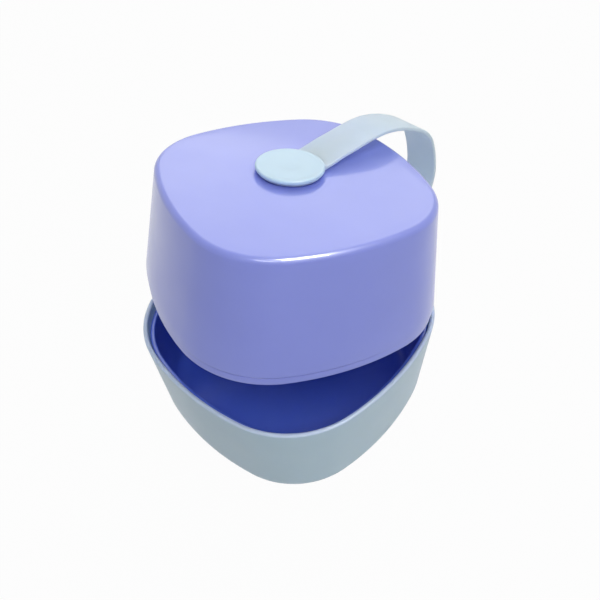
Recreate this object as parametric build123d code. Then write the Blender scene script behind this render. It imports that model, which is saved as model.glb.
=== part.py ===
from build123d import *
import os
from math import atan2, degrees

os.makedirs("parts", exist_ok=True)

# Rounded-square pot with a tall lid, held together at the back by a soft strap.
# Millimetres. +Z is up, -Y is the front, +Y is the strap side.
# The origin is the centre of the underside, which stands on the table.

# Shared outline of pot and lid at their widest, seen from above
HALF_X = 33.56
HALF_Y = 33.56
CORNER_R = 23.0
SIDE_BOW = 1.06
CORNER_X = HALF_X - SIDE_BOW - CORNER_R
CORNER_Y = HALF_Y - SIDE_BOW - CORNER_R

# Pot
RIM_Z = 29.5
POT_TAPER = 1.55
POT_FOOT_R = 6.4
POT_WALL = 1.1
POT_FLOOR = 1.8
RIM_ROUND = 0.5

# Inner cup, held in the pot
CUP_GAP = 0.05
CUP_WALL = 1.15
CUP_TOP_DROP = 2.4
CUP_TOP_ROUND = 0.35
CUP_FLOOR = 1.4
CUP_FOOT_R = 4.0

# Lid, drawn closed and then moved to the half-open pose it has at rest
SEAT_GAP = 0.35
LID_HEIGHT = 28.25
LID_TAPER = 5.25
LID_TOP_R = 1.2
LID_WALL = 2.2
LID_STEP_H = 2.1
LID_STEP_INSET = 0.5
LID_EDGE_ROUND = 0.4
LID_INNER_R = 1.0
LID_RIM_Z = RIM_Z + SEAT_GAP
LID_TOP_Z = LID_RIM_Z + LID_HEIGHT

# Snap fastener on the lid
STUD_Y = 1.9
CAP_R = 7.6
CAP_T = 0.85
CAP_ROUND = 0.4
CAP_DIMPLE_R = 2.2
CAP_DIMPLE_DEPTH = 0.12
CAP_POCKET_GAP = 0.1
PAD_R = 7.1
PAD_LIFT = 0.3
PAD_T = 0.6
POST_R = 1.2
PRESS_GAP = 0.02
WELL_R = 6.0
WELL_DEPTH = 1.5
BOSS_R = 7.6
BOSS_DROP = 3.0
SOCKET_R = 5.2
SOCKET_LIFT = 0.3
STUD_HEAD_R = 2.33
STUD_HEAD_H = 0.8
STUD_RUN_GAP = 0.07
STUD_END_GAP = 0.05
STUD_SHANK_R = 1.2
STUD_FOOT_R = 1.9
STUD_FOOT_H = 0.5
WASHER_R = 4.0
WASHER_T = 0.6

# Strap and its yoke behind the pot
STRAP_W = 9.7
STRAP_T = 0.9
STRAP_EDGE_R = 0.3
PIVOT_BEHIND = 9.44
PIVOT_DROP = 13.0
PIVOT_Y = HALF_Y + PIVOT_BEHIND
PIVOT_Z = RIM_Z - PIVOT_DROP
EYE_R = 2.6
PIN_R = 1.0
PIN_RUN_GAP = 0.06
SIDE_GAP = 0.35
EAR_T = 1.8
EAR_R = 2.9
YOKE_FLOOR_T = 1.5
YOKE_FLOOR_DROP = 3.8
YOKE_FLOOR_TOP = PIVOT_Z - YOKE_FLOOR_DROP
YOKE_FRONT = 3.4
YOKE_BACK = 3.4
YOKE_CORNER_R = 1.6
YOKE_EDGE_R = 0.4
STUB_R = 2.0
STUB_RUN_GAP = 0.06
SHELF_T = 3.0
SHELF_GAP = 0.35
SHELF_TOP = YOKE_FLOOR_TOP - YOKE_FLOOR_T - SHELF_GAP
SHELF_R = 6.5
SHELF_ROOT_IN = 4.5
SHELF_ROOT_Y = HALF_Y - SHELF_ROOT_IN
SHELF_EDGE_R = 0.6
RIB_T = 2.4
RIB_DROP = 4.5
RIB_SHORT = 6.0
RIB_END_Y = PIVOT_Y - RIB_SHORT
GROOVE_R = 1.5
RING_R = 3.6
RING_T = 0.8
RING_SLOT_W = 2.6
STUB_TAIL = 0.7

# Strap's side view: each place is how far behind the lid's middle, and how far above its top
STRAP_START = 4.0
STRAP_RISE_Y = 15.1
STRAP_RISE = 2.5
CREST_Y = 28.9
CREST_RISE = 4.2
SHOULDER_Y = 36.2
SHOULDER_RISE = 2.7
BEND_Y = 44.1
BEND_FALL = 1.0
BACK_Y = 50.1
BACK_FALL = 11.2
STEPS_PER_SPAN = 4

# Pose at rest
SWAY = -7.23
TILT = 7.96
TURN = 74.25


def about(pivot, turn):
    return Pos(*pivot) * turn * Pos(*(-v for v in pivot))


SWAY_MOVE = about((0, PIVOT_Y, 0), Rot(0, 0, SWAY))
TILT_MOVE = about((0, PIVOT_Y, PIVOT_Z), Rot(-TILT, 0, 0))
TURN_MOVE = about((0, STUD_Y, 0), Rot(0, 0, TURN))
STRAP_MOVE = SWAY_MOVE * TILT_MOVE
LID_MOVE = SWAY_MOVE * TILT_MOVE * TURN_MOVE


def side_radius(half, along, across):
    # radius of the flat arc that meets the corner arcs smoothly
    reach = along - half
    return (CORNER_R ** 2 - reach ** 2 - across ** 2) / (2 * (reach + CORNER_R))


def outline(inset):
    # four flat side arcs and four corner arcs, all tangent
    radius_x = side_radius(HALF_X, CORNER_X, CORNER_Y)
    radius_y = side_radius(HALF_Y, CORNER_Y, CORNER_X)
    centre_x = HALF_X - radius_x
    centre_y = HALF_Y - radius_y
    low = degrees(atan2(CORNER_Y, CORNER_X - centre_x))
    high = degrees(atan2(CORNER_Y - centre_y, CORNER_X))
    corner = CORNER_R - inset
    arcs = [
        CenterArc((centre_x, 0), radius_x - inset, -low, 2 * low),
        CenterArc((CORNER_X, CORNER_Y), corner, low, high - low),
        CenterArc((0, centre_y), radius_y - inset, high, 180 - 2 * high),
        CenterArc((-CORNER_X, CORNER_Y), corner, 180 - high, high - low),
        CenterArc((-centre_x, 0), radius_x - inset, 180 - low, 2 * low),
        CenterArc((-CORNER_X, -CORNER_Y), corner, 180 + low, high - low),
        CenterArc((0, -centre_y), radius_y - inset, 180 + high, 180 - 2 * high),
        CenterArc((CORNER_X, -CORNER_Y), corner, 360 - high, high - low),
    ]
    return make_face(arcs)


def tapered(inset_low, z_low, inset_high, z_high):
    low = Pos(0, 0, z_low) * outline(inset_low)
    high = Pos(0, 0, z_high) * outline(inset_high)
    return loft([low, high], ruled=True)


def pot_body(inset, z_low, z_high):
    def drawn_in(z):
        return inset + POT_TAPER * (1 - z / RIM_Z)
    return tapered(drawn_in(z_low), z_low, drawn_in(z_high), z_high)


def lid_body(inset, z_low, z_high):
    def drawn_in(z):
        return inset + LID_TAPER * (z - LID_RIM_Z) / LID_HEIGHT
    return tapered(drawn_in(z_low), z_low, drawn_in(z_high), z_high)


def bottom_edges(body):
    return body.faces().sort_by(Axis.Z)[0].edges()


def top_edges(body):
    return body.faces().sort_by(Axis.Z)[-1].edges()


def post(x, y, z_low, z_high, radius):
    height = z_high - z_low
    return Pos(x, y, (z_low + z_high) / 2) * Cylinder(radius, height)


def cross_rod(z, width, radius, x=0):
    return Pos(x, PIVOT_Y, z) * Rot(0, 90, 0) * Cylinder(radius, width)


def make_base_shell():
    body = pot_body(0, 0, RIM_Z)
    body = fillet(bottom_edges(body), POT_FOOT_R)
    hollow = pot_body(POT_WALL, POT_FLOOR, RIM_Z)
    hollow = fillet(bottom_edges(hollow), POT_FOOT_R - POT_WALL)
    shell = body - hollow
    shell = fillet(top_edges(shell), RIM_ROUND)
    shelf_z = SHELF_TOP - SHELF_T / 2
    shelf_len = PIVOT_Y - SHELF_ROOT_Y
    shelf = Pos(0, SHELF_ROOT_Y + shelf_len / 2, shelf_z) * Box(2 * SHELF_R, shelf_len, SHELF_T)
    shelf += post(0, PIVOT_Y, SHELF_TOP - SHELF_T, SHELF_TOP, SHELF_R)
    shelf = fillet(top_edges(shelf) + bottom_edges(shelf), SHELF_EDGE_R)
    under = SHELF_TOP - SHELF_T
    corners = [(SHELF_ROOT_Y, under + SHELF_T / 2), (RIB_END_Y, under + SHELF_T / 2),
               (RIB_END_Y, under), (SHELF_ROOT_Y, under - RIB_DROP)]
    rib = make_face(Polyline(*corners, close=True))
    shelf += extrude(Plane.YZ * rib, RIB_T / 2, both=True)
    shelf -= pot_body(POT_WALL / 2, POT_FLOOR, RIM_Z)
    shelf -= post(0, PIVOT_Y, SHELF_TOP - SHELF_T, SHELF_TOP, STUB_R + STUB_RUN_GAP)
    return shell + shelf


def make_base_liner():
    skin = POT_WALL + CUP_GAP
    top = RIM_Z - CUP_TOP_DROP
    low = POT_FLOOR + CUP_GAP
    body = pot_body(skin, low, top)
    body = fillet(bottom_edges(body), POT_FOOT_R - skin)
    hollow = pot_body(skin + CUP_WALL, low + CUP_FLOOR, top)
    hollow = fillet(bottom_edges(hollow), CUP_FOOT_R)
    cup = body - hollow
    return fillet(top_edges(cup), CUP_TOP_ROUND)


def make_yoke():
    ear_x = STRAP_W / 2 + SIDE_GAP + EAR_T / 2
    width = 2 * ear_x + EAR_T
    floor_z = YOKE_FLOOR_TOP - YOKE_FLOOR_T / 2
    floor_y = PIVOT_Y + (YOKE_BACK - YOKE_FRONT) / 2
    body = Pos(0, floor_y, floor_z) * Box(width, YOKE_FRONT + YOKE_BACK, YOKE_FLOOR_T)
    body = fillet(body.edges().filter_by(Axis.Z), YOKE_CORNER_R)
    body = fillet(bottom_edges(body), YOKE_EDGE_R)
    for side in (-1, 1):
        web_h = PIVOT_Z - YOKE_FLOOR_TOP + YOKE_FLOOR_T
        web = Box(EAR_T, 2 * EAR_R, web_h)
        body += Pos(side * ear_x, PIVOT_Y, PIVOT_Z - web_h / 2) * web
        body += cross_rod(PIVOT_Z, EAR_T, EAR_R, side * ear_x)
    body -= cross_rod(PIVOT_Z, width, PIN_R + PRESS_GAP)
    ring_top = SHELF_TOP - SHELF_T - SHELF_GAP
    body += post(0, PIVOT_Y, ring_top, YOKE_FLOOR_TOP - YOKE_FLOOR_T, STUB_R)
    body += post(0, PIVOT_Y, ring_top - RING_T, ring_top, GROOVE_R)
    body += post(0, PIVOT_Y, ring_top - RING_T - STUB_TAIL, ring_top - RING_T, STUB_R)
    return SWAY_MOVE * body


def make_yoke_ring():
    top = SHELF_TOP - SHELF_T - SHELF_GAP
    ring = post(0, PIVOT_Y, top - RING_T + PRESS_GAP, top - PRESS_GAP, RING_R)
    ring -= post(0, PIVOT_Y, top - RING_T, top, GROOVE_R + PRESS_GAP)
    ring -= Pos(0, PIVOT_Y + RING_R / 2, top - RING_T / 2) * Box(RING_SLOT_W, RING_R, RING_T)
    return SWAY_MOVE * ring


def make_strap_pin():
    length = STRAP_W + 2 * SIDE_GAP + 2 * EAR_T
    return SWAY_MOVE * cross_rod(PIVOT_Z, length, PIN_R)


def strap_knots():
    # off the pad, over the crest behind the lid, down to the eye
    half = STRAP_T / 2
    return [
        Vector(STUD_Y + STRAP_START, LID_TOP_Z + PAD_LIFT + half),
        Vector(STRAP_RISE_Y, LID_TOP_Z + STRAP_RISE),
        Vector(CREST_Y, LID_TOP_Z + CREST_RISE),
        Vector(SHOULDER_Y, LID_TOP_Z + SHOULDER_RISE),
        Vector(BEND_Y, LID_TOP_Z - BEND_FALL),
        Vector(BACK_Y, LID_TOP_Z - BACK_FALL),
        Vector(PIVOT_Y + EYE_R - half, PIVOT_Z),
    ]


def strap_spans():
    # curved spans through the knots, each knot's slope taken from its neighbours
    knots = strap_knots()
    steps = [b - a for a, b in zip(knots, knots[1:])]
    slopes = [Vector(1, 0)]
    for before, after in zip(steps, steps[1:]):
        mixed = before.normalized() * after.length + after.normalized() * before.length
        slopes.append(mixed / (before.length + after.length))
    slopes.append(Vector(0, -1))
    spans = []
    for i, step in enumerate(steps):
        reach = step.length / 3
        spans.append(Bezier(knots[i], knots[i] + slopes[i] * reach,
                            knots[i + 1] - slopes[i + 1] * reach, knots[i + 1]))
    return spans


def strap_band():
    half = STRAP_T / 2
    upper, lower = [], []
    for span in strap_spans():
        first = 1 if upper else 0
        for k in range(first, STEPS_PER_SPAN + 1):
            spot = span @ (k / STEPS_PER_SPAN)
            run = span % (k / STEPS_PER_SPAN)
            upper.append((spot.X - half * run.Y, spot.Y + half * run.X))
            lower.append((spot.X + half * run.Y, spot.Y - half * run.X))
    edges = [
        Spline(*upper),
        Line(upper[-1], lower[-1]),
        Spline(*lower),
        Line(lower[0], upper[0]),
    ]
    face = make_face(edges)
    return extrude(Plane.YZ * face, STRAP_W / 2, both=True)


def make_strap():
    pad_low = LID_TOP_Z + PAD_LIFT
    strap = strap_band()
    long_edges = strap.edges().filter_by(lambda edge: edge.length > LID_HEIGHT)
    strap = fillet(long_edges, STRAP_EDGE_R)
    strap -= post(0, STUD_Y, pad_low + PAD_T, pad_low + 2 * STRAP_T, CAP_R + CAP_POCKET_GAP)
    strap += post(0, STUD_Y, pad_low, pad_low + PAD_T, PAD_R)
    strap += cross_rod(PIVOT_Z, STRAP_W, EYE_R)
    strap -= cross_rod(PIVOT_Z, STRAP_W, PIN_R + PIN_RUN_GAP)
    strap -= post(0, STUD_Y, pad_low, pad_low + PAD_T, POST_R + PRESS_GAP)
    return STRAP_MOVE * strap


def make_snap_cap():
    low = LID_TOP_Z + PAD_LIFT + PAD_T + PRESS_GAP
    disc = post(0, STUD_Y, low, low + CAP_T, CAP_R)
    disc = fillet(top_edges(disc), CAP_ROUND)
    disc -= Pos(0, STUD_Y, low + CAP_T) * Cone(0, CAP_DIMPLE_R, 2 * CAP_DIMPLE_DEPTH)
    foot = LID_TOP_Z - WELL_DEPTH + SOCKET_LIFT + STUD_HEAD_H + STUD_END_GAP
    disc += post(0, STUD_Y, foot, low, POST_R)
    return STRAP_MOVE * disc


def make_snap_socket():
    low = LID_TOP_Z - WELL_DEPTH + SOCKET_LIFT
    high = LID_TOP_Z + PAD_LIFT - PRESS_GAP
    ring = post(0, STUD_Y, low, high, SOCKET_R)
    ring -= post(0, STUD_Y, low, low + STUD_HEAD_H + STUD_END_GAP, STUD_HEAD_R + STUD_RUN_GAP)
    ring -= post(0, STUD_Y, low, high, POST_R + PRESS_GAP)
    return STRAP_MOVE * ring


def make_lid_shell():
    step_z = LID_RIM_Z + LID_STEP_H
    body = lid_body(0, step_z, LID_TOP_Z)
    body = fillet(top_edges(body), LID_TOP_R)
    body = fillet(bottom_edges(body), LID_EDGE_ROUND)
    lip = lid_body(LID_STEP_INSET, LID_RIM_Z, step_z + LID_EDGE_ROUND)
    lip = fillet(bottom_edges(lip), LID_EDGE_ROUND)
    body += lip
    hollow = lid_body(LID_WALL, LID_RIM_Z, LID_TOP_Z - LID_WALL)
    hollow = fillet(top_edges(hollow), LID_INNER_R)
    body -= hollow
    body += post(0, STUD_Y, LID_TOP_Z - BOSS_DROP, LID_TOP_Z - LID_WALL / 2, BOSS_R)
    body -= post(0, STUD_Y, LID_TOP_Z - WELL_DEPTH, LID_TOP_Z, WELL_R)
    body -= post(0, STUD_Y, LID_TOP_Z - BOSS_DROP, LID_TOP_Z, STUD_SHANK_R + PRESS_GAP)
    return LID_MOVE * body


def make_snap_stud():
    well = LID_TOP_Z - WELL_DEPTH
    washer_low = LID_TOP_Z - BOSS_DROP - PRESS_GAP - WASHER_T
    stud = post(0, STUD_Y, well + PRESS_GAP, well + STUD_HEAD_H, STUD_HEAD_R)
    stud += post(0, STUD_Y, washer_low - PRESS_GAP, well + PRESS_GAP, STUD_SHANK_R)
    foot_top = washer_low - PRESS_GAP
    stud += post(0, STUD_Y, foot_top - STUD_FOOT_H, foot_top, STUD_FOOT_R)
    return LID_MOVE * stud


def make_stud_washer():
    high = LID_TOP_Z - BOSS_DROP - PRESS_GAP
    washer = post(0, STUD_Y, high - WASHER_T, high, WASHER_R)
    washer -= post(0, STUD_Y, high - WASHER_T, high, STUD_SHANK_R + PRESS_GAP)
    return LID_MOVE * washer


PIECES = {
    "base_shell": make_base_shell,
    "base_liner": make_base_liner,
    "strap_yoke": make_yoke,
    "yoke_ring": make_yoke_ring,
    "strap_pin": make_strap_pin,
    "strap": make_strap,
    "snap_cap": make_snap_cap,
    "snap_socket": make_snap_socket,
    "lid_shell": make_lid_shell,
    "snap_stud": make_snap_stud,
    "stud_washer": make_stud_washer,
}

for name, make in PIECES.items():
    export_step(make(), f"parts/{name}.step")
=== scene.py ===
from math import atan2, cos, pi, radians, sin, tau

import bmesh
import bpy
from bpy.props import FloatProperty, FloatVectorProperty, PointerProperty
from mathutils import Matrix, Vector


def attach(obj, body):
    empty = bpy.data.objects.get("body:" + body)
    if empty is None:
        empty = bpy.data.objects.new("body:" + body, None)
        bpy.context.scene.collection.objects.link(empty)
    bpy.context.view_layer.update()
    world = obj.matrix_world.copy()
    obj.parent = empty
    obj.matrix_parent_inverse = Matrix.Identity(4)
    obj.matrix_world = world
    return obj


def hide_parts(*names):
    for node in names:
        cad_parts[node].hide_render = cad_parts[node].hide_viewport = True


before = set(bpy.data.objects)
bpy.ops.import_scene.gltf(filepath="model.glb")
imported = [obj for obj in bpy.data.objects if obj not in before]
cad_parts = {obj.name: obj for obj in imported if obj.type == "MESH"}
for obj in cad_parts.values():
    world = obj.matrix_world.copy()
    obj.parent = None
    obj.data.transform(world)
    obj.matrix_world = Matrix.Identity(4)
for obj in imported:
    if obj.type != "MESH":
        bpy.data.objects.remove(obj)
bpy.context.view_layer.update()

bl_info = {
    "name": "Pacifier Case Builder",
    "version": (1, 0, 0),
    "blender": (4, 5, 0),
    "location": "3D View > Sidebar > Case",
    "description": "Dresses the packed case: pot, cup, lid, strap, snap, yoke, studio",
    "category": "Object",
}

MM = 0.001
QUARTER = pi / 2


# Sizes and colours a user would change

def length(name, text, default):
    return FloatProperty(name=name, description=text, default=default, min=0.0,
                         subtype="DISTANCE", unit="LENGTH", precision=5)


def tint(name, text, default):
    return FloatVectorProperty(name=name, description=text, default=default, size=3,
                               subtype="COLOR", min=0.0, max=1.0)


class CASE_PG_outline(bpy.types.PropertyGroup):
    half_x: length("Half width", "Half the width across the sides", 33.56 * MM)
    half_y: length("Half depth", "Half the depth, front to back", 33.56 * MM)
    corner_radius: length("Corner radius", "Radius of the rounded corners", 23.0 * MM)
    side_bow: length("Side bow", "How far the sides bow past the corner arcs", 1.06 * MM)


class CASE_PG_pot(bpy.types.PropertyGroup):
    rim_height: length("Rim height", "Height of the pot's rim", 29.5 * MM)
    taper: length("Taper", "How far the wall leans in at the foot", 1.55 * MM)
    foot_radius: length("Foot radius", "Rounding of the foot", 6.4 * MM)
    wall: length("Wall", "Thickness of the outer wall", 1.1 * MM)
    floor: length("Floor", "Thickness of the pot's floor", 1.8 * MM)
    rim_round: length("Rim rounding", "Rounding of the rim's two edges", 0.5 * MM)
    shell_colour: tint("Pot colour", "Pale grey-blue of the pot", (0.497, 0.664, 0.785))
    cup_gap: length("Cup gap", "Gap between cup and pot", 0.05 * MM)
    cup_wall: length("Cup wall", "Thickness of the cup's wall", 1.15 * MM)
    cup_top_drop: length("Cup top drop", "Cup's top edge below the rim", 2.4 * MM)
    cup_top_round: length("Cup top rounding", "Rounding of the cup's top edge", 0.35 * MM)
    cup_floor: length("Cup floor", "Thickness of the cup's floor", 1.4 * MM)
    cup_foot_radius: length("Cup foot radius", "Rounding inside the cup", 4.0 * MM)
    cup_colour: tint("Cup colour", "Deep blue of the cup", (0.076, 0.165, 0.800))


class CASE_PG_lid(bpy.types.PropertyGroup):
    seat_gap: length("Seat gap", "Air under the shut lid", 0.35 * MM)
    height: length("Height", "Height of the lid", 28.25 * MM)
    taper: length("Taper", "How far the side leans in at the top", 5.25 * MM)
    top_radius: length("Top rounding", "Rounding of the top edge", 1.2 * MM)
    wall: length("Wall", "Thickness of the lid", 2.2 * MM)
    step_height: length("Step height", "Height of the set-back lip", 2.1 * MM)
    step_inset: length("Step inset", "How far the lip is set back", 0.5 * MM)
    groove_depth: length("Groove depth", "Depth of the groove above the lip", 0.35 * MM)
    inner_radius: length("Inner rounding", "Rounding inside the top", 1.0 * MM)
    well_radius: length("Well radius", "Well round the snap", 6.0 * MM)
    well_depth: length("Well depth", "Depth of the well", 1.5 * MM)
    boss_radius: length("Boss radius", "Thick place under the well", 7.6 * MM)
    boss_drop: length("Boss drop", "Underside of the boss below the top", 3.0 * MM)
    colour: tint("Lid colour", "Lavender blue of the lid", (0.262, 0.312, 0.860))


class CASE_PG_strap(bpy.types.PropertyGroup):
    width: length("Width", "Width of the strap", 9.7 * MM)
    thickness: length("Thickness", "Thickness of the strap", 0.9 * MM)
    edge_radius: length("Edge rounding", "Rounding of the strap's edges", 0.3 * MM)
    start: length("Start", "Where the strap leaves the pad", 4.0 * MM)
    rise_y: length("Rise Y", "Place of the first rise", 15.1 * MM)
    rise: length("Rise", "Height of the first rise above the lid", 2.5 * MM)
    crest_y: length("Crest Y", "Place of the crest", 28.9 * MM)
    crest_rise: length("Crest rise", "Height of the crest above the lid", 4.2 * MM)
    shoulder_y: length("Shoulder Y", "Place where the strap starts down", 36.2 * MM)
    shoulder_rise: length("Shoulder rise", "Height of the shoulder", 2.7 * MM)
    bend_y: length("Bend Y", "Place of the bend", 44.1 * MM)
    bend_fall: length("Bend fall", "Drop of the bend below the lid's top", 1.0 * MM)
    back_y: length("Back Y", "Furthest place of the strap", 50.04 * MM)
    back_fall: length("Back fall", "Drop of that place below the lid's top", 11.2 * MM)
    pivot_y: length("Pivot Y", "Pin's distance behind the middle", 43.0 * MM)
    pivot_drop: length("Pivot drop", "Pin's height below the rim", 13.0 * MM)
    eye_radius: length("Eye radius", "Radius of the strap's lower eye", 2.6 * MM)
    stud_y: length("Stud Y", "Snap's distance behind the lid's middle", 1.9 * MM)
    cap_radius: length("Cap radius", "Radius of the snap's cap", 7.6 * MM)
    cap_thickness: length("Cap thickness", "Thickness of the snap's cap", 0.85 * MM)
    pad_radius: length("Pad radius", "Round end of the strap under the cap", 7.1 * MM)
    pad_lift: length("Pad lift", "Air between strap and lid", 0.3 * MM)
    shelf_drop: length("Shelf drop", "Shelf's top below the pin", 5.65 * MM)
    shelf_radius: length("Shelf radius", "Half the shelf's width", 6.5 * MM)
    shelf_thickness: length("Shelf thickness", "Thickness of the shelf", 3.0 * MM)
    stub_radius: length("Stub radius", "Radius of the yoke's stub", 2.0 * MM)
    pad_thickness: length("Pad thickness", "Thickness of the round end", 0.6 * MM)
    strap_colour: tint("Strap colour", "Pale blue of the strap", (0.605, 0.825, 0.965))
    cap_colour: tint("Cap colour", "Near-white blue of the cap", (0.600, 0.810, 0.965))


class CASE_PG_pose(bpy.types.PropertyGroup):
    sway: FloatProperty(name="Sway", description="Strap's lean to the side at rest",
                        default=radians(-7.23), subtype="ANGLE", unit="ROTATION")
    tilt: FloatProperty(name="Lift", description="How far the lid is lifted at rest",
                        default=radians(7.96), subtype="ANGLE", unit="ROTATION")
    turn: FloatProperty(name="Turn", description="Lid's turn on its snap at rest",
                        default=radians(74.25), subtype="ANGLE", unit="ROTATION")


class CASE_PG_stage(bpy.types.PropertyGroup):
    azimuth: FloatProperty(name="Azimuth", description="Camera's direction round the case",
                           default=0.8083, subtype="ANGLE", unit="ROTATION")
    elevation: FloatProperty(name="Elevation", description="Camera's height angle",
                             default=0.8227, subtype="ANGLE", unit="ROTATION")
    roll: FloatProperty(name="Roll", description="Camera's lean", default=-0.0855,
                        subtype="ANGLE", unit="ROTATION")
    distance: length("Distance", "Camera to the middle of the rim", 0.140)
    lens: FloatProperty(name="Lens", description="Focal length in millimetres on a 36 mm frame",
                        default=33.42, min=5.0)
    shift_x: FloatProperty(name="Shift X", description="Camera shift across", default=0.02056)
    shift_y: FloatProperty(name="Shift Y", description="Camera shift up", default=0.01375)
    floor_size: length("Floor size", "Half the floor's side", 1.5)
    fill: FloatProperty(name="Fill", description="Strength of the light from all round",
                        default=0.30, min=0.0)
    back: FloatProperty(name="Back", description="Power of the large lamp behind, in watts",
                        default=1.35, min=0.0, unit="POWER")
    side: FloatProperty(name="Side", description="Power of the right-hand lamp, in watts",
                        default=0.7, min=0.0, unit="POWER")
    front: FloatProperty(name="Front", description="Power of the front lamp, in watts",
                         default=0.8, min=0.0, unit="POWER")
    top: FloatProperty(name="Top", description="Power of the lamp for the gloss line, in watts",
                       default=7.0, min=0.0, unit="POWER")


def props(name):
    return getattr(bpy.context.scene, name)


# Where things stand: drawn shut, then moved to the half-open pose

def about(pivot, matrix):
    """The same turn, taken about the pivot."""
    return Matrix.Translation(pivot) @ matrix @ Matrix.Translation(-Vector(pivot))


def moves():
    """How each body's pieces go from shut to the half-open pose."""
    pose, strap = props("case_pose"), props("case_strap")
    sway = about((0, strap.pivot_y, pin_height()), Matrix.Rotation(pose.sway, 4, "Z"))
    lift = about((0, strap.pivot_y, pin_height()), Matrix.Rotation(-pose.tilt, 4, "X"))
    twist = about((0, strap.stud_y, 0), Matrix.Rotation(pose.turn, 4, "Z"))
    return {"pot": Matrix.Identity(4), "strap": sway @ lift, "lid": sway @ lift @ twist}


def pin_height():
    return props("case_pot").rim_height - props("case_strap").pivot_drop


def lid_rim():
    return props("case_pot").rim_height + props("case_lid").seat_gap


def lid_top():
    return lid_rim() + props("case_lid").height


# Mesh helpers

SIDE_STEPS, CORNER_STEPS, TURNED_STEPS = 14, 26, 96
FLOOR_SHARES = (0.0, 0.3, 0.6, 0.85, 0.97)
WELD_DISTANCE = 1e-7
SMOOTH_ANGLE = 32


def side_radius(radius, half, along, across):
    """Radius of a bowed side that runs into corner arcs without a kink."""
    reach = along - half
    return (radius ** 2 - reach ** 2 - across ** 2) / (2 * (reach + radius))


def outline_arcs():
    """The rounded square's eight tangent arcs: centre, radius, start, end."""
    o = props("case_outline")
    r = o.corner_radius
    corner_x = o.half_x - o.side_bow - r
    corner_y = o.half_y - o.side_bow - r
    radius_x = side_radius(r, o.half_x, corner_x, corner_y)
    radius_y = side_radius(r, o.half_y, corner_y, corner_x)
    centre_x = o.half_x - radius_x
    centre_y = o.half_y - radius_y
    low = atan2(corner_y, corner_x - centre_x)
    high = atan2(corner_y - centre_y, corner_x)
    return [
        ((centre_x, 0), radius_x, -low, low),
        ((corner_x, corner_y), r, low, high),
        ((0, centre_y), radius_y, high, pi - high),
        ((-corner_x, corner_y), r, pi - high, pi - low),
        ((-centre_x, 0), radius_x, pi - low, pi + low),
        ((-corner_x, -corner_y), r, pi + low, pi + high),
        ((0, -centre_y), radius_y, pi + high, tau - high),
        ((corner_x, -corner_y), r, tau - high, tau - low),
    ]


def outline_ring(inset, z):
    """One closed ring of the rounded square, drawn in by inset."""
    ring = []
    for i, (centre, radius, start, end) in enumerate(outline_arcs()):
        steps = CORNER_STEPS if i % 2 else SIDE_STEPS
        for k in range(steps):
            a = start + (end - start) * k / steps
            r = radius - inset
            ring.append(Vector((centre[0] + r * cos(a), centre[1] + r * sin(a), z)))
    return ring


def circle_like(ring, centre, radius, z):
    """A circle whose points stand in the same directions as a ring's."""
    points = []
    for p in ring:
        a = atan2(p.y - centre[1], p.x - centre[0])
        points.append(Vector((centre[0] + radius * cos(a), centre[1] + radius * sin(a), z)))
    return points


def between(ring_a, ring_b, share):
    return [a.lerp(b, share) for a, b in zip(ring_a, ring_b)]


def turn(inset_a, z_a, inset_b, z_b, steps):
    """Quarter turn between two (inset, z) spots, leaving the first one along z."""
    return [(inset_b + (inset_a - inset_b) * cos(QUARTER * k / steps),
             z_a + (z_b - z_a) * sin(QUARTER * k / steps)) for k in range(1, steps + 1)]


def level_turn(inset_a, z_a, inset_b, z_b, steps):
    """Quarter turn between two (inset, z) spots, leaving the first one level."""
    return [(inset_a + (inset_b - inset_a) * sin(QUARTER * k / steps),
             z_b + (z_a - z_b) * cos(QUARTER * k / steps)) for k in range(1, steps + 1)]


def run(inset_a, z_a, inset_b, z_b, steps=8):
    """Straight steps between two (inset, z) spots."""
    return [(inset_a + (inset_b - inset_a) * k / steps, z_a + (z_b - z_a) * k / steps)
            for k in range(1, steps + 1)]


def floor_rings(ring, z):
    """Rings that draw in from a ring to the middle of a flat floor."""
    hub = [Vector((0, 0, z))] * len(ring)
    return [between(ring, hub, share) for share in FLOOR_SHARES]


def neighbours(loop):
    return [(i, (i + 1) % len(loop)) for i in range(len(loop))]


def skin(name, rings, closed=False):
    """A mesh over rings of equal length, closed on itself or else with a fan at each end."""
    bm = bmesh.new()
    loops = [[bm.verts.new(p) for p in ring] for ring in rings]
    pairs = list(zip(loops, loops[1:]))
    if closed:
        pairs.append((loops[-1], loops[0]))
    for a, b in pairs:
        for i, k in neighbours(a):
            bm.faces.new((a[i], a[k], b[k], b[i]))
    if not closed:
        for loop in (loops[0], loops[-1]):
            hub = bm.verts.new(sum((v.co for v in loop), Vector()) / len(loop))
            for i, k in neighbours(loop):
                bm.faces.new((loop[i], loop[k], hub))
    weld(bm)
    return to_object(name, bm)


def weld(bm):
    """Merges doubled points and turns all faces outwards."""
    bmesh.ops.remove_doubles(bm, verts=bm.verts, dist=WELD_DISTANCE)
    bmesh.ops.recalc_face_normals(bm, faces=bm.faces)


def add(name, data):
    obj = bpy.data.objects.new(name, data)
    bpy.context.scene.collection.objects.link(obj)
    return obj


def to_object(name, bm):
    mesh = bpy.data.meshes.new(name)
    bm.to_mesh(mesh)
    bm.free()
    return shade(add(name, mesh), SMOOTH_ANGLE)


def shade(obj, angle):
    """Smooth shading, with sharp edges where faces meet at more than the angle in degrees."""
    mesh = obj.data
    mesh.polygons.foreach_set("use_smooth", [True] * len(mesh.polygons))
    mesh.set_sharp_from_angle(angle=radians(angle))
    mesh.update()
    return obj


def turned(name, profile, closed=False):
    """Piece turned about the snap's middle, from a profile of (radius, z)."""
    middle = props("case_strap").stud_y
    rings = [[Vector((radius * cos(tau * k / TURNED_STEPS),
                      middle + radius * sin(tau * k / TURNED_STEPS), z))
              for k in range(TURNED_STEPS)] for radius, z in profile]
    return skin(name, rings, closed)


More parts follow.
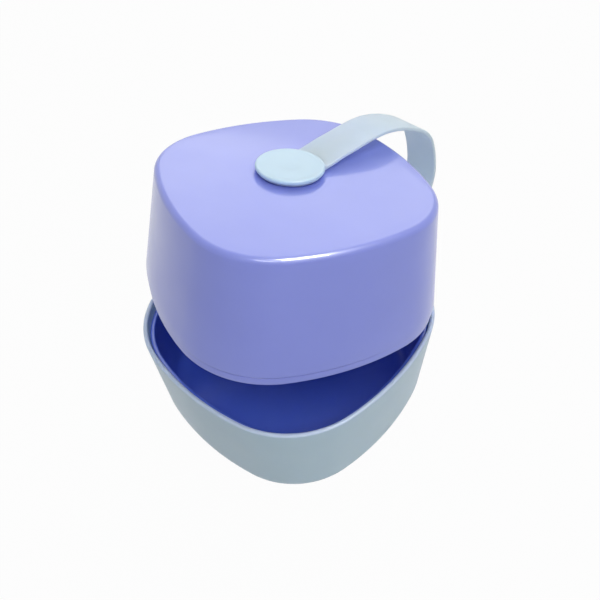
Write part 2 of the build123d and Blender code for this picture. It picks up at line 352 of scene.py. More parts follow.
def place(obj, body, slot, *nodes):
    """Moves a piece from shut to its pose and hands it to its body."""
    obj.data.transform(moves()[body])
    obj.data.update()
    if nodes:
        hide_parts(*nodes)
    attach(obj, body)
    return obj


# Materials

# Painted highlight: a pale blue band in the pot's colour between these depths under the rim,
# standing in for light caught on the rim's edge
RIM_HIGHLIGHT_LOW, RIM_HIGHLIGHT_HIGH = 0.5 * MM, 0.15 * MM
RIM_HIGHLIGHT_COLOUR = (0.60, 0.72, 0.95)
FASTENER_COLOUR = (0.62, 0.70, 0.76)
STEEL_DARK, STEEL_PALE = (0.50, 0.51, 0.53), (0.68, 0.69, 0.71)
PLASTIC_IOR, SILICONE_IOR = 1.49, 1.43
# Parts of a noise that a pattern takes up: its middle, its upper half, and only its peaks
MIDDLE, UPPER, PEAKS, DUST_PEAKS = (0.3, 0.7), (0.45, 0.75), (0.66, 0.74), (0.60, 0.76)
# Roughness from the smoothest to the dullest place
BLOOM, STEEL_POLISH = (0.40, 0.52), (0.22, 0.36)
# Depths of the fine relief, in metres: grain and waves in plastic, pores in silicone,
# lines in steel
GRAIN_DEPTH, WAVE_DEPTH, PORE_DEPTH, LINE_DEPTH = 0.00004, 0.00025, 0.00004, 0.00003


class Finish:
    """Builds one procedural material, node by node."""

    def __init__(self, name):
        self.material = bpy.data.materials.new(name)
        self.material.use_nodes = True
        self.tree = self.material.node_tree
        self.shader = self.tree.nodes["Principled BSDF"]
        self.coords = self.node("ShaderNodeTexCoord").outputs["Object"]

    def node(self, kind, **settings):
        """A node, each setting put on it or else on its socket of that name."""
        made = self.tree.nodes.new(kind)
        for key, value in settings.items():
            if hasattr(made, key):
                setattr(made, key, value)
            else:
                made.inputs[key].default_value = value
        return made

    def link(self, a, b):
        self.tree.links.new(a, b)

    def noise(self, scale, detail, roughness=0.55, stretch=(1, 1, 1)):
        mapping = self.node("ShaderNodeMapping")
        mapping.inputs["Scale"].default_value = stretch
        self.link(self.coords, mapping.inputs["Vector"])
        made = self.node("ShaderNodeTexNoise", Scale=scale, Detail=detail, Roughness=roughness)
        self.link(mapping.outputs["Vector"], made.inputs["Vector"])
        return made.outputs["Fac"]

    def remap(self, value, span, out=(0.0, 1.0)):
        """Stretches a span of the value to the range that goes out."""
        made = self.node("ShaderNodeMapRange")
        for key, number in zip(("From Min", "From Max", "To Min", "To Max"), (*span, *out)):
            made.inputs[key].default_value = number
        self.link(value, made.inputs["Value"])
        return made.outputs["Result"]

    def blend(self, share, a, b):
        """Goes from a to b by the share; each is a colour or a socket."""
        made = self.node("ShaderNodeMix", data_type="RGBA")
        self.link(share, made.inputs["Factor"])
        for name, value in (("A", a), ("B", b)):
            target = next(s for s in made.inputs if s.name == name and s.type == "RGBA")
            if isinstance(value, tuple):
                target.default_value = (*value, 1.0)
            else:
                self.link(value, target)
        return next(s for s in made.outputs if s.type == "RGBA")

    def bump(self, height, strength, distance, chain=None):
        made = self.node("ShaderNodeBump", Strength=strength, Distance=distance)
        self.link(height, made.inputs["Height"])
        if chain:
            self.link(chain, made.inputs["Normal"])
        return made.outputs["Normal"]

    def height(self, low, high):
        """Nought below the low height, one above the high one."""
        parts = self.node("ShaderNodeSeparateXYZ")
        self.link(self.coords, parts.inputs["Vector"])
        return self.remap(parts.outputs["Z"], (low, high))

    def set(self, **values):
        for key, value in values.items():
            socket = self.shader.inputs[key.replace("_", " ")]
            if isinstance(value, bpy.types.NodeSocket):
                self.link(value, socket)
            else:
                socket.default_value = value


def paler(colour, share):
    """The colour, that share of the way to white."""
    return tuple(c + (1 - c) * share for c in colour)


def darker(colour, share):
    """The colour, that share of the way to black."""
    return tuple(c * (1 - share) for c in colour)


def moulded(name, colour, gloss, grain, coat, soft=0.0, scuffs=0.03, polish=0.10, sheen=0.4,
            coat_ior=1.5, rim=None):
    """Moulded plastic: cloudy colour, fine grain, faint scuffs, uneven gloss; given a rim
    height, also a painted highlight band just under the rim.
    """
    f = Finish(name)
    cloud = f.noise(scale=34, detail=3)
    tone = f.blend(f.remap(cloud, MIDDLE), darker(colour, 0.045), paler(colour, 0.02))
    streak = f.noise(scale=160, detail=2, roughness=0.5, stretch=(1, 1, 0.12))
    tone = f.blend(f.remap(streak, UPPER, (0, 0.03 + scuffs)), tone, paler(colour, 0.16))
    scuff = f.noise(scale=420, detail=4, roughness=0.7, stretch=(0.25, 1, 1))
    tone = f.blend(f.remap(scuff, PEAKS, (0, scuffs * 4)), tone, paler(colour, 0.3))
    # Painted highlight: the colour turns pale blue in a thin band just under the rim height
    if rim:
        tone = f.blend(f.height(rim - RIM_HIGHLIGHT_LOW, rim - RIM_HIGHLIGHT_HIGH), tone, RIM_HIGHLIGHT_COLOUR)
    speck = f.noise(scale=2600, detail=1)
    dullness = f.remap(f.noise(scale=75, detail=4), MIDDLE, (gloss - 0.05, gloss + 0.06))
    normal = f.bump(speck, grain, GRAIN_DEPTH)
    normal = f.bump(f.noise(scale=60, detail=2), 0.10, WAVE_DEPTH, normal)
    f.set(Base_Color=tone, Roughness=dullness, Normal=normal, IOR=PLASTIC_IOR,
          Specular_IOR_Level=sheen, Coat_Weight=coat, Coat_Roughness=polish,
          Coat_IOR=coat_ior)
    if soft:
        f.set(Subsurface_Weight=soft, Subsurface_Scale=0.004,
              Subsurface_Radius=(0.5, 0.6, 1.0))
    return f.material


def silicone(name, colour):
    """Soft silicone: matt bloom, fine pores, faint dust."""
    f = Finish(name)
    cloud = f.noise(scale=90, detail=4)
    tone = f.blend(f.remap(cloud, MIDDLE), darker(colour, 0.05), paler(colour, 0.05))
    dust = f.remap(f.noise(scale=1500, detail=2), DUST_PEAKS, (0, 0.10))
    tone = f.blend(dust, tone, paler(colour, 0.35))
    pores = f.noise(scale=5200, detail=2)
    dullness = f.remap(f.noise(scale=140, detail=3), MIDDLE, BLOOM)
    normal = f.bump(pores, 0.08, PORE_DEPTH)
    f.set(Base_Color=tone, Roughness=dullness, Normal=normal, IOR=SILICONE_IOR,
          Subsurface_Weight=0.75, Subsurface_Scale=0.006,
          Subsurface_Radius=(0.8, 0.9, 1.0), Sheen_Weight=0.12,
          Sheen_Roughness=0.4)
    return f.material


def spring_steel(name):
    """Turned steel: fine lines round the piece and uneven polish."""
    f = Finish(name)
    lines = f.noise(scale=900, detail=2, roughness=0.5, stretch=(0.05, 1, 1))
    tone = f.blend(f.remap(lines, MIDDLE), STEEL_DARK, STEEL_PALE)
    normal = f.bump(lines, 0.2, LINE_DEPTH)
    dullness = f.remap(f.noise(scale=300, detail=3), MIDDLE, STEEL_POLISH)
    f.set(Base_Color=tone, Roughness=dullness, Metallic=1.0, Normal=normal)
    return f.material


def pot_plastic(name):
    pot = props("case_pot")
    # The rim height places the painted highlight band under the pot's rim
    return moulded(name, pot.shell_colour, gloss=0.44, grain=0.22, coat=0.16, soft=0.25,
                   sheen=0.2, rim=pot.rim_height)


def cup_plastic(name):
    return moulded(name, props("case_pot").cup_colour, gloss=0.36, grain=0.06, coat=1.00,
                   scuffs=0.0, polish=0.24, sheen=0.6, coat_ior=1.6)


def lid_plastic(name):
    return moulded(name, props("case_lid").colour, gloss=0.36, grain=0.05, coat=0.60,
                   soft=0.10, scuffs=0.004)


def strap_silicone(name):
    return silicone(name, props("case_strap").strap_colour)


def cap_plastic(name):
    return moulded(name, props("case_strap").cap_colour, gloss=0.38, grain=0.14, coat=0.10,
                   soft=0.08)


def fastener_plastic(name):
    return moulded(name, FASTENER_COLOUR, gloss=0.36, grain=0.12, coat=0.1)


MATERIALS = {
    "Satin pot plastic": pot_plastic,
    "Glossy cup plastic": cup_plastic,
    "Glossy lid plastic": lid_plastic,
    "Soft strap silicone": strap_silicone,
    "Satin cap plastic": cap_plastic,
    "Pale fastener plastic": fastener_plastic,
    "Spring steel": spring_steel,
}


def finish(kind):
    """One of the case's materials, each made once."""
    return bpy.data.materials.get(kind) or MATERIALS[kind](kind)


def dress(obj, kind):
    obj.data.materials.clear()
    obj.data.materials.append(finish(kind))
    return obj


# Pot and cup

STUB_GAP = 0.06 * MM
SHELF_ROOT_DEPTH, SHELF_EDGE, SHELF_HOLE_EDGE = 2.2 * MM, 0.6 * MM, 0.15 * MM
SHELF_ROUND_STEPS, SHELF_SIDE_STEPS = 32, 14
RIB_LAP, RIB_HALF, RIB_EDGE = 1.0 * MM, 1.2 * MM, 0.3 * MM
# The rib ends RIB_END before the pin, and falls RIB_DEPTH over its length and RIB_RUN_OUT
RIB_END, RIB_DEPTH, RIB_RUN_OUT = 6.0 * MM, 4.5 * MM, 2.3 * MM


def pot_ring(inset, z):
    pot = props("case_pot")
    return outline_ring(inset + pot.taper * (1 - z / pot.rim_height), z)


def bowl(name, spots, bed_z):
    """A pot from its profile of (inset, z), with a flat underside and bed."""
    rings = [pot_ring(inset, z) for inset, z in spots]
    under = floor_rings(rings[0], spots[0][1])[::-1]
    bed = floor_rings(rings[-1], bed_z)
    return skin(name, under[:-1] + rings + bed[1:])


def make_pot_shell():
    """The pot from its foot up the outside, over the rim and down to its bed."""
    pot = props("case_pot")
    foot, top, wall, low, r = pot.foot_radius, pot.rim_height, pot.wall, pot.floor, pot.rim_round
    inner = foot - wall
    spots = [(foot, 0)] + level_turn(foot, 0, 0, foot, steps=14)
    spots += run(0, foot, 0, top - r)
    spots += turn(0, top - r, r, top, steps=7) + [(wall - r, top)]
    spots += level_turn(wall - r, top, wall, top - r, steps=7)
    spots += run(wall, top - r, wall, low + inner)
    spots += turn(wall, low + inner, foot, low, steps=10)
    return dress(bowl("pot_shell", spots, low), "Satin pot plastic")


def shelf_root():
    return props("case_outline").half_y - SHELF_ROOT_DEPTH


def shelf_top():
    return pin_height() - props("case_strap").shelf_drop


def tongue(inset, z):
    """Outline of the shelf: a half circle round the yoke's stub and straight sides."""
    strap, steps = props("case_strap"), SHELF_SIDE_STEPS
    pivot_y, radius, root = strap.pivot_y, strap.shelf_radius - inset, shelf_root()
    spots = [(radius * cos(pi * k / SHELF_ROUND_STEPS),
              pivot_y + radius * sin(pi * k / SHELF_ROUND_STEPS))
             for k in range(SHELF_ROUND_STEPS + 1)]
    spots += [(-radius, pivot_y + (root - pivot_y) * k / steps) for k in range(1, steps)]
    spots += [(-radius + 2 * radius * k / steps, root) for k in range(steps + 1)]
    spots += [(radius, root + (pivot_y - root) * k / steps) for k in range(1, steps)]
    return [Vector((x, y, z)) for x, y in spots]


def make_shelf():
    """The shelf behind the pot, with the hole for the yoke's stub."""
    strap = props("case_strap")
    centre, hole = (0, strap.pivot_y), strap.stub_radius + STUB_GAP
    high = shelf_top()
    low = high - strap.shelf_thickness
    e, b = SHELF_EDGE, SHELF_HOLE_EDGE
    rings = [tongue(a, z) for a, z in
             [(e, low)] + level_turn(e, low, 0, low + e, steps=5)
             + [(0, high - e)] + turn(0, high - e, e, high, steps=5)]
    flat = tongue(e, high)
    for radius, z in ((hole + b, high), (hole, high - b), (hole, low + b), (hole + b, low)):
        rings.append(circle_like(flat, centre, radius, z))
    return dress(skin("strap_shelf", rings, closed=True), "Satin pot plastic")


def make_rib():
    """The rib under the shelf."""
    strap = props("case_strap")
    low = shelf_top() - strap.shelf_thickness
    root, end = shelf_root(), strap.pivot_y - RIB_END
    drop = RIB_DEPTH * (end - root) / (end - root + RIB_RUN_OUT)
    bm = bmesh.new()
    corners = [(root, low + RIB_LAP), (end, low + RIB_LAP), (end, low), (root, low - drop)]
    sides = [[bm.verts.new((x, y, z)) for y, z in corners] for x in (-RIB_HALF, RIB_HALF)]
    for side in sides:
        bm.faces.new(side)
    for i, k in neighbours(corners):
        bm.faces.new((sides[0][i], sides[0][k], sides[1][k], sides[1][i]))
    bmesh.ops.recalc_face_normals(bm, faces=bm.faces)
    bmesh.ops.bevel(bm, geom=bm.edges, offset=RIB_EDGE, segments=3, affect="EDGES")
    return dress(to_object("shelf_rib", bm), "Satin pot plastic")


def make_cup():
    """The cup, a little smaller than the pot's inside, with a rounded top edge."""
    pot = props("case_pot")
    out = pot.wall + pot.cup_gap
    inside, r = out + pot.cup_wall, pot.cup_top_round
    top = pot.rim_height - pot.cup_top_drop
    low = pot.floor + pot.cup_gap
    bed_z, inner, foot = low + pot.cup_floor, pot.cup_foot_radius, pot.foot_radius - out
    spots = [(out + foot, low)] + level_turn(out + foot, low, out, low + foot, steps=8)
    spots += run(out, low + foot, out, top - r, steps=6)
    spots += turn(out, top - r, out + r, top, steps=5) + [(inside - r, top)]
    spots += level_turn(inside - r, top, inside, top - r, steps=5)
    spots += run(inside, top - r, inside, bed_z + inner, steps=10)
    spots += turn(inside, bed_z + inner, inside + inner, bed_z, steps=12)
    return dress(bowl("inner_cup", spots, bed_z), "Glossy cup plastic")


# Lid

LIP_EDGE, MOUTH_DEPTH, MOUTH_BEVEL = 0.4 * MM, 0.2 * MM, 0.15 * MM
# The groove above the lip: three heights below its upper edge, and its first small inset
GROOVE_LOW, GROOVE_MIDDLE, GROOVE_HIGH, GROOVE_NICK = 0.38 * MM, 0.32 * MM, 0.26 * MM, 0.06 * MM
# The top goes over from the rounded square to circles round the well
CROWN_REACH, CROWN_SHARES = 5.2 * MM, (0.12, 0.3, 0.5, 0.7, 0.88, 1.0)
WELL_FLAT, WELL_LIP, WELL_SOFT = 3.4 * MM, 0.35 * MM, 0.1 * MM
STUD_BORE, BOSS_EDGE, BOSS_SEAT = 1.22 * MM, 0.3 * MM, 0.15 * MM
CEILING_SHARES = (0.3, 0.65)


def lid_ring(inset, z):
    lid = props("case_lid")
    return outline_ring(inset + lid.taper * (z - lid_rim()) / lid.height, z)


def make_lid():
    """Lid from its mouth up the outside, over the well and boss, and down the inside."""
    lid, strap = props("case_lid"), props("case_strap")
    rim, top = lid_rim(), lid_top()
    wall, set_in, step = lid.wall, lid.step_inset, rim + lid.step_height
    e, r, mouth = LIP_EDGE, lid.top_radius, rim + MOUTH_DEPTH
    spots = [(wall, mouth), (wall - MOUTH_BEVEL, rim), (set_in + e, rim)]
    spots += level_turn(set_in + e, rim, set_in, rim + e, steps=4)
    groove = set_in + lid.groove_depth
    spots += [(set_in, step - GROOVE_LOW), (set_in + GROOVE_NICK, step - GROOVE_MIDDLE),
              (groove, step - GROOVE_HIGH), (groove, step), (e, step)]
    spots += level_turn(e, step, 0, step + e, steps=5)
    spots += run(0, step + e, 0, top - r, steps=10) + turn(0, top - r, r, top, steps=14)
    rings = [lid_ring(a, z) for a, z in spots]
    centre, crown = (0, strap.stud_y), rings[-1]
    w, b, ceiling = lid.well_radius, lid.boss_radius, top - wall
    swell = circle_like(crown, centre, w + CROWN_REACH, top)
    rings += [between(crown, swell, share) for share in CROWN_SHARES]
    sunk, low_boss = top - lid.well_depth, top - lid.boss_drop
    for radius, z in (
        (w + WELL_FLAT, top), (w + WELL_LIP, top), (w + WELL_SOFT, top - WELL_SOFT),
        (w, top - WELL_LIP), (w, sunk + WELL_SOFT), (w - WELL_SOFT, sunk), (STUD_BORE, sunk),
        (STUD_BORE, low_boss), (b - BOSS_EDGE, low_boss), (b, low_boss + BOSS_EDGE),
        (b, ceiling - BOSS_SEAT), (b + BOSS_EDGE, ceiling),
    ):
        rings.append(circle_like(crown, centre, radius, z))
    ri = lid.inner_radius
    inner = [(wall + ri, ceiling)]
    inner += level_turn(wall + ri, ceiling, wall, ceiling - ri, steps=8)
    rings += [between(rings[-1], lid_ring(*inner[0]), share) for share in CEILING_SHARES]
    inner += run(wall, ceiling - ri, wall, mouth)[:-1]
    rings += [lid_ring(a, z) for a, z in inner]
    return dress(skin("lid_shell_dressed", rings, closed=True), "Glossy lid plastic")


# Strap and snap: a rounded band swept along its path, with an eye and a pad at its ends

BAND_STEP, BAND_EDGE_STEPS, BAND_SMOOTH_ANGLE, PATH_STEPS = 0.6 * MM, 5, 40, 24
PIN_BORE, PIN_BORE_EDGE, EYE_STEPS = 1.06 * MM, 0.15 * MM, 64
PAD_BORE, PAD_EDGE = 1.23 * MM, 0.2 * MM
POST_RADIUS, POST_DEPTH = 1.2 * MM, 0.6 * MM
CAP_GAP, CAP_EDGE, CAP_UNDER_INSET, CAP_UNDER_RISE = 0.02 * MM, 0.4 * MM, 0.2 * MM, 0.15 * MM
# The cap's dish: (share of its radius, depth in millimetres)
CAP_DISH = ((0.91, 0.0), (0.88, 0.03), (0.84, 0.09), (0.79, 0.12), (0.60, 0.13),
            (0.42, 0.14), (0.34, 0.16), (0.27, 0.22), (0.18, 0.29), (0.08, 0.32))


def strap_path():
    """Knots of the strap's side view: off the pad, over the crest, down to the eye."""
    strap = props("case_strap")
    top = lid_top()
    half = strap.thickness / 2
    return [
        Vector((0, strap.stud_y + strap.start, top + strap.pad_lift + half)),
        Vector((0, strap.rise_y, top + strap.rise)),
        Vector((0, strap.crest_y, top + strap.crest_rise)),
        Vector((0, strap.shoulder_y, top + strap.shoulder_rise)),
        Vector((0, strap.bend_y, top - strap.bend_fall)),
        Vector((0, strap.back_y, top - strap.back_fall)),
        Vector((0, strap.pivot_y + strap.eye_radius - half, pin_height())),
    ]


def band_tree():
    """Node tree that sweeps a rounded section along a path, with its inputs' identifiers."""
    tree = bpy.data.node_groups.new("Rounded band", "GeometryNodeTree")
    face = tree.interface
    face.new_socket("Path", in_out="INPUT", socket_type="NodeSocketGeometry")
    inputs = {}
    for name, text in (("Width", "Width of the band"), ("Thickness", "Thickness of the band"),
                       ("Edge", "Rounding of the edges"), ("Spacing", "Length of each step")):
        made = face.new_socket(name, in_out="INPUT", socket_type="NodeSocketFloat")
        made.subtype = "DISTANCE"
        made.description = text
        inputs[name] = made.identifier
    made = face.new_socket("Finish", in_out="INPUT", socket_type="NodeSocketMaterial")
    inputs["Finish"] = made.identifier
    face.new_socket("Band", in_out="OUTPUT", socket_type="NodeSocketGeometry")
    new = tree.nodes.new
    link = tree.links.new
    into, out = new("NodeGroupInput"), new("NodeGroupOutput")
    resample = new("GeometryNodeResampleCurve")
    resample.mode = "LENGTH"
    link(into.outputs["Path"], resample.inputs["Curve"])
    link(into.outputs["Spacing"], resample.inputs["Length"])
    section = new("GeometryNodeCurvePrimitiveQuadrilateral")
    link(into.outputs["Thickness"], section.inputs["Height"])
    link(into.outputs["Width"], section.inputs["Width"])
    fillet = new("GeometryNodeFilletCurve")
    fillet.mode = "POLY"
    fillet.inputs["Count"].default_value = BAND_EDGE_STEPS
    link(section.outputs["Curve"], fillet.inputs["Curve"])
    link(into.outputs["Edge"], fillet.inputs["Radius"])
    sweep = new("GeometryNodeCurveToMesh")
    sweep.inputs["Fill Caps"].default_value = True
    link(resample.outputs["Curve"], sweep.inputs["Curve"])
    link(fillet.outputs["Curve"], sweep.inputs["Profile Curve"])
    realize = new("GeometryNodeRealizeInstances")
    link(sweep.outputs["Mesh"], realize.inputs["Geometry"])
    paint = new("GeometryNodeSetMaterial")
    link(realize.outputs["Geometry"], paint.inputs["Geometry"])
    link(into.outputs["Finish"], paint.inputs["Material"])
    link(paint.outputs["Geometry"], out.inputs["Band"])
    return tree, inputs


def path_object(name, points):
    """A curve through the points, each one's slope taken from its neighbours."""
    steps = [b - a for a, b in zip(points, points[1:])]
    slopes = [Vector((0, 1, 0))]
    for before, after in zip(steps, steps[1:]):
        mixed = before.normalized() * after.length + after.normalized() * before.length
        slopes.append(mixed / (before.length + after.length))
    slopes.append(Vector((0, 0, -1)))
    lengths = [steps[0].length] + [step.length for step in steps] + [steps[-1].length]
    curve = bpy.data.curves.new(name, "CURVE")
    curve.dimensions = "3D"
    curve.twist_mode = "MINIMUM"
    spline = curve.splines.new("BEZIER")
    spline.bezier_points.add(len(points) - 1)
    for i, (spot, point) in enumerate(zip(spline.bezier_points, points)):
        spot.handle_left_type = spot.handle_right_type = "FREE"
        spot.co = point
        spot.handle_left = point - slopes[i] * lengths[i] / 3
        spot.handle_right = point + slopes[i] * lengths[i + 1] / 3
    spline.resolution_u = PATH_STEPS
    return add(name, curve)


def make_band():
    """The strap's band, as a plain mesh."""
    strap = props("case_strap")
    tree, inputs = band_tree()
    path = path_object("strap_band_path", strap_path())
    modifier = path.modifiers.new("Band", "NODES")
    modifier.node_group = tree
    for key, value in (("Width", strap.width), ("Thickness", strap.thickness),
                       ("Edge", strap.edge_radius), ("Spacing", BAND_STEP),
                       ("Finish", finish("Soft strap silicone"))):
        modifier[inputs[key]] = value
    depsgraph = bpy.context.evaluated_depsgraph_get()
    mesh = bpy.data.meshes.new_from_object(path.evaluated_get(depsgraph))
    path.modifiers.clear()
    bpy.data.objects.remove(path)
    mesh.name = "strap_band"
    bm = bmesh.new()
    bm.from_mesh(mesh)
    weld(bm)
    bm.to_mesh(mesh)
    bm.free()
    return shade(add("strap_band", mesh), BAND_SMOOTH_ANGLE)


def make_eye():
    """The moulded eye round the pin, as wide as the strap."""
    strap, low = props("case_strap"), pin_height()
    half, r, e = strap.width / 2, strap.eye_radius, strap.edge_radius
    spots = [(PIN_BORE, half - PIN_BORE_EDGE), (PIN_BORE + PIN_BORE_EDGE, half), (r - e, half)]
    spots += level_turn(r - e, half, r, half - e, steps=4)
    spots += [(radius, -x) for radius, x in reversed(spots)]
    rings = [[Vector((x, strap.pivot_y + radius * cos(tau * k / EYE_STEPS),
                      low + radius * sin(tau * k / EYE_STEPS)))
              for k in range(EYE_STEPS)] for radius, x in spots]
    return dress(skin("strap_eye", rings, closed=True), "Soft strap silicone")


def make_pad():
    """The strap's round end under the cap."""
    strap = props("case_strap")
    low = lid_top() + strap.pad_lift
    high = low + strap.pad_thickness
    r, e = strap.pad_radius, PAD_EDGE
    profile = [(PAD_BORE, low), (r - e, low)]
    profile += level_turn(r - e, low, r, low + e, steps=4)
    profile += [(r, high - e)] + turn(r, high - e, r - e, high, steps=4)
    profile += [(PAD_BORE, high)]
    return dress(turned("strap_pad", profile, closed=True), "Soft strap silicone")


def make_cap():
    """Snap cap: raised edge, shallow dish and a soft sink in the middle."""
    strap = props("case_strap")
    low = lid_top() + strap.pad_lift + strap.pad_thickness + CAP_GAP
    high = low + strap.cap_thickness
    r, e = strap.cap_radius, CAP_EDGE
    profile = [(POST_RADIUS, low - POST_DEPTH), (POST_RADIUS, low),
               (r - CAP_UNDER_INSET, low), (r, low + CAP_UNDER_RISE), (r, high - e)]
    profile += turn(r, high - e, r - e, high, steps=8)
    profile += [(r * share, high - depth * MM) for share, depth in CAP_DISH]
    return dress(turned("snap_cap_dressed", profile), "Satin cap plastic")


# Stage

LAMP_TARGET = (0, 0, 0.035)
# Lamps: name, place, sides, and whether they light the gloss alone
LAMPS = (
    ("Back", (-0.26, 0.36, 0.46), (0.50, 0.50), False),
    ("Front", (0.21, -0.19, 0.53), (0.18, 0.18), False),
    ("Top", (0.250, 0.080, 0.59), (0.26, 0.20), True),
    ("Side", (0.43, -0.04, 0.45), (0.30, 0.30), False),
)
FLOOR_COLOUR, FLOOR_ROUGHNESS, FLOOR_GLOSS = (0.55, 0.55, 0.56, 1), 0.85, 0.1
FLOOR_WHITE, FLOOR_DROP = 0.965, 0.2 * MM
FILL_COLOUR, WHITE = (0.97, 0.98, 1.0, 1), (1, 1, 1, 1)
SENSOR_WIDTH, CLIP_NEAR, CLIP_FAR = 36.0, 0.01, 20.0


def lamp(name, spot, sides, power, spin):
    """A rectangular lamp, aimed at the case and spun about its own axis."""
    light = bpy.data.lights.new(name, "AREA")
    light.shape = "RECTANGLE"
    light.size, light.size_y = sides
    light.energy = power
    obj = add(name, light)
    obj.location = spot
    towards = Vector(LAMP_TARGET) - obj.location
    obj.rotation_euler = towards.to_track_quat("-Z", "Y").to_euler()
    obj.rotation_euler.rotate_axis("Z", spin)
    return obj


def white_to_camera(tree):
    """Camera, mirror and glass rays see white; other rays see the shader."""
    paths = tree.nodes.new("ShaderNodeLightPath")
    share = paths.outputs["Is Camera Ray"]
    for ray in ("Is Glossy Ray", "Is Transmission Ray"):
        either = tree.nodes.new("ShaderNodeMath")
        either.operation = "MAXIMUM"
        tree.links.new(share, either.inputs[0])
        tree.links.new(paths.outputs[ray], either.inputs[1])
        share = either.outputs[0]
    return share


def mix_surface(tree, share, one, other, output):
    """Puts a mix of two shaders on the output."""
    mix = tree.nodes.new("ShaderNodeMixShader")
    for socket, source in zip(mix.inputs, (share, one.outputs[0], other.outputs[0])):
        tree.links.new(source, socket)
    tree.links.new(mix.outputs[0], tree.nodes[output].inputs["Surface"])


# Operators

class CASE_OT_pot(bpy.types.Operator):
    """Makes the pot's outer shell and the shelf behind it"""
    bl_idname = "case.build_pot"
    bl_label = "Build pot"

    def execute(self, context):
        place(make_pot_shell(), "pot", "shell_pale", "base_shell")
        for piece in (make_shelf(), make_rib()):
            place(piece, "pot", "shell_pale")
        return {"FINISHED"}


class CASE_OT_cup(bpy.types.Operator):
    """Makes the deep blue cup inside the pot"""
    bl_idname = "case.build_cup"
    bl_label = "Build cup"

    def execute(self, context):
        place(make_cup(), "pot", "liner_deep", "base_liner")
        return {"FINISHED"}


class CASE_OT_lid(bpy.types.Operator):
    """Makes the lid with its set-back lip, well and boss"""
    bl_idname = "case.build_lid"
    bl_label = "Build lid"

    def execute(self, context):
        place(make_lid(), "lid", "lid_lavender", "lid_shell")
        return {"FINISHED"}


class CASE_OT_strap(bpy.types.Operator):
    """Makes the strap: swept band, round end and eye"""
    bl_idname = "case.build_strap"
    bl_label = "Build strap"

    def execute(self, context):
        place(make_band(), "strap", "strap_soft", "strap")
        for piece in (make_eye(), make_pad()):
            place(piece, "strap", "strap_soft")
        return {"FINISHED"}


class CASE_OT_snap(bpy.types.Operator):
    """Makes the snap's cap and finishes its socket, stud and washer"""
    bl_idname = "case.build_snap"
    bl_label = "Build snap"

    def execute(self, context):
        place(make_cap(), "strap", "cap_pale", "snap_cap")
        for node in ("snap_socket", "snap_stud", "stud_washer"):
            dress(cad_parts[node], "Pale fastener plastic")
        return {"FINISHED"}


class CASE_OT_yoke(bpy.types.Operator):
    """Finishes the yoke, its retaining ring and the pin"""
    bl_idname = "case.build_yoke"
    bl_label = "Build yoke"

    def execute(self, context):
        dress(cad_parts["strap_yoke"], "Satin pot plastic")
        for node in ("yoke_ring", "strap_pin"):
            dress(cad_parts[node], "Spring steel")
        return {"FINISHED"}


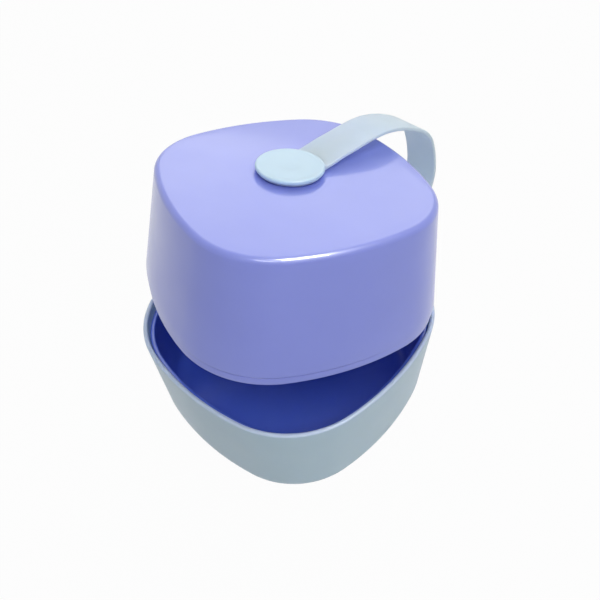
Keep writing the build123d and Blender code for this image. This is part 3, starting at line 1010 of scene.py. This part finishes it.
class CASE_OT_stage(bpy.types.Operator):
    """Makes the floor, the lamps, the world and the camera"""
    bl_idname = "case.build_stage"
    bl_label = "Build stage"

    def execute(self, context):
        stage = props("case_stage")
        self.floor(stage)
        self.world(stage)
        self.lamps(stage)
        self.camera(stage)
        return {"FINISHED"}

    def floor(self, stage):
        bm = bmesh.new()
        bmesh.ops.create_grid(bm, x_segments=2, y_segments=2, size=stage.floor_size)
        floor = to_object("floor", bm)
        floor.location.z = -FLOOR_DROP
        material = bpy.data.materials.new("Pale floor")
        material.use_nodes = True
        tree = material.node_tree
        shader = tree.nodes["Principled BSDF"]
        shader.inputs["Base Color"].default_value = FLOOR_COLOUR
        shader.inputs["Roughness"].default_value = FLOOR_ROUGHNESS
        shader.inputs["Specular IOR Level"].default_value = FLOOR_GLOSS
        share = tree.nodes.new("ShaderNodeMath")
        share.operation = "MULTIPLY"
        share.inputs[1].default_value = FLOOR_WHITE
        tree.links.new(white_to_camera(tree), share.inputs[0])
        white = tree.nodes.new("ShaderNodeEmission")
        mix_surface(tree, share.outputs[0], shader, white, "Material Output")
        floor.data.materials.append(material)

    def world(self, stage):
        world = bpy.data.worlds.new("Studio")
        bpy.context.scene.world = world
        world.use_nodes = True
        tree = world.node_tree
        soft = tree.nodes["Background"]
        soft.inputs["Color"].default_value = FILL_COLOUR
        soft.inputs["Strength"].default_value = stage.fill
        white = tree.nodes.new("ShaderNodeBackground")
        white.inputs["Color"].default_value = WHITE
        white.inputs["Strength"].default_value = 1.0
        mix_surface(tree, white_to_camera(tree), soft, white, "World Output")

    def lamps(self, stage):
        for name, spot, sides, gloss_only in LAMPS:
            power = getattr(stage, name.lower())
            made = lamp(name, spot, sides, power, stage.azimuth if gloss_only else 0.0)
            made.visible_diffuse = not gloss_only

    def camera(self, stage):
        a, e = stage.azimuth, stage.elevation
        back = Vector((sin(a) * cos(e), -cos(a) * cos(e), sin(e)))
        right = Vector((cos(a), sin(a), 0))
        up = back.cross(right)
        r = stage.roll
        across = right * cos(r) + up * sin(r)
        above = up * cos(r) - right * sin(r)
        data = bpy.data.cameras.new("Photo camera")
        data.lens, data.sensor_width = stage.lens, SENSOR_WIDTH
        data.shift_x, data.shift_y = stage.shift_x, stage.shift_y
        data.clip_start, data.clip_end = CLIP_NEAR, CLIP_FAR
        obj = add("Photo camera", data)
        matrix = Matrix((across, above, back)).transposed().to_4x4()
        spot = Vector((0, 0, props("case_pot").rim_height)) + back * stage.distance
        obj.matrix_world = Matrix.Translation(spot) @ matrix
        bpy.context.scene.camera = obj


class CASE_PT_panel(bpy.types.Panel):
    """Sizes, colours and builders of the case"""
    bl_label = "Pacifier case"
    bl_idname = "CASE_PT_panel"
    bl_space_type = "VIEW_3D"
    bl_region_type = "UI"
    bl_category = "Case"

    def draw(self, context):
        for operator in OPERATORS:
            self.layout.operator(operator.bl_idname)
        for name, group in GROUPS.items():
            box = self.layout.box()
            box.label(text=name.replace("case_", "").capitalize())
            for key in group.__annotations__:
                box.prop(getattr(context.scene, name), key)


GROUPS = {
    "case_outline": CASE_PG_outline,
    "case_pot": CASE_PG_pot,
    "case_lid": CASE_PG_lid,
    "case_strap": CASE_PG_strap,
    "case_pose": CASE_PG_pose,
    "case_stage": CASE_PG_stage,
}
OPERATORS = (CASE_OT_pot, CASE_OT_cup, CASE_OT_lid, CASE_OT_strap, CASE_OT_snap,
             CASE_OT_yoke, CASE_OT_stage)
CLASSES = (*GROUPS.values(), *OPERATORS, CASE_PT_panel)


def register():
    for cls in CLASSES:
        bpy.utils.register_class(cls)
    for name, group in GROUPS.items():
        setattr(bpy.types.Scene, name, PointerProperty(type=group))


def unregister():
    for name in GROUPS:
        delattr(bpy.types.Scene, name)
    for cls in reversed(CLASSES):
        bpy.utils.unregister_class(cls)


def main():
    register()
    bpy.context.scene.view_settings.view_transform = "Standard"
    for name in ("pot", "cup", "lid", "strap", "snap", "yoke", "stage"):
        getattr(bpy.ops.case, "build_" + name)()


if __name__ == "__main__":
    main()
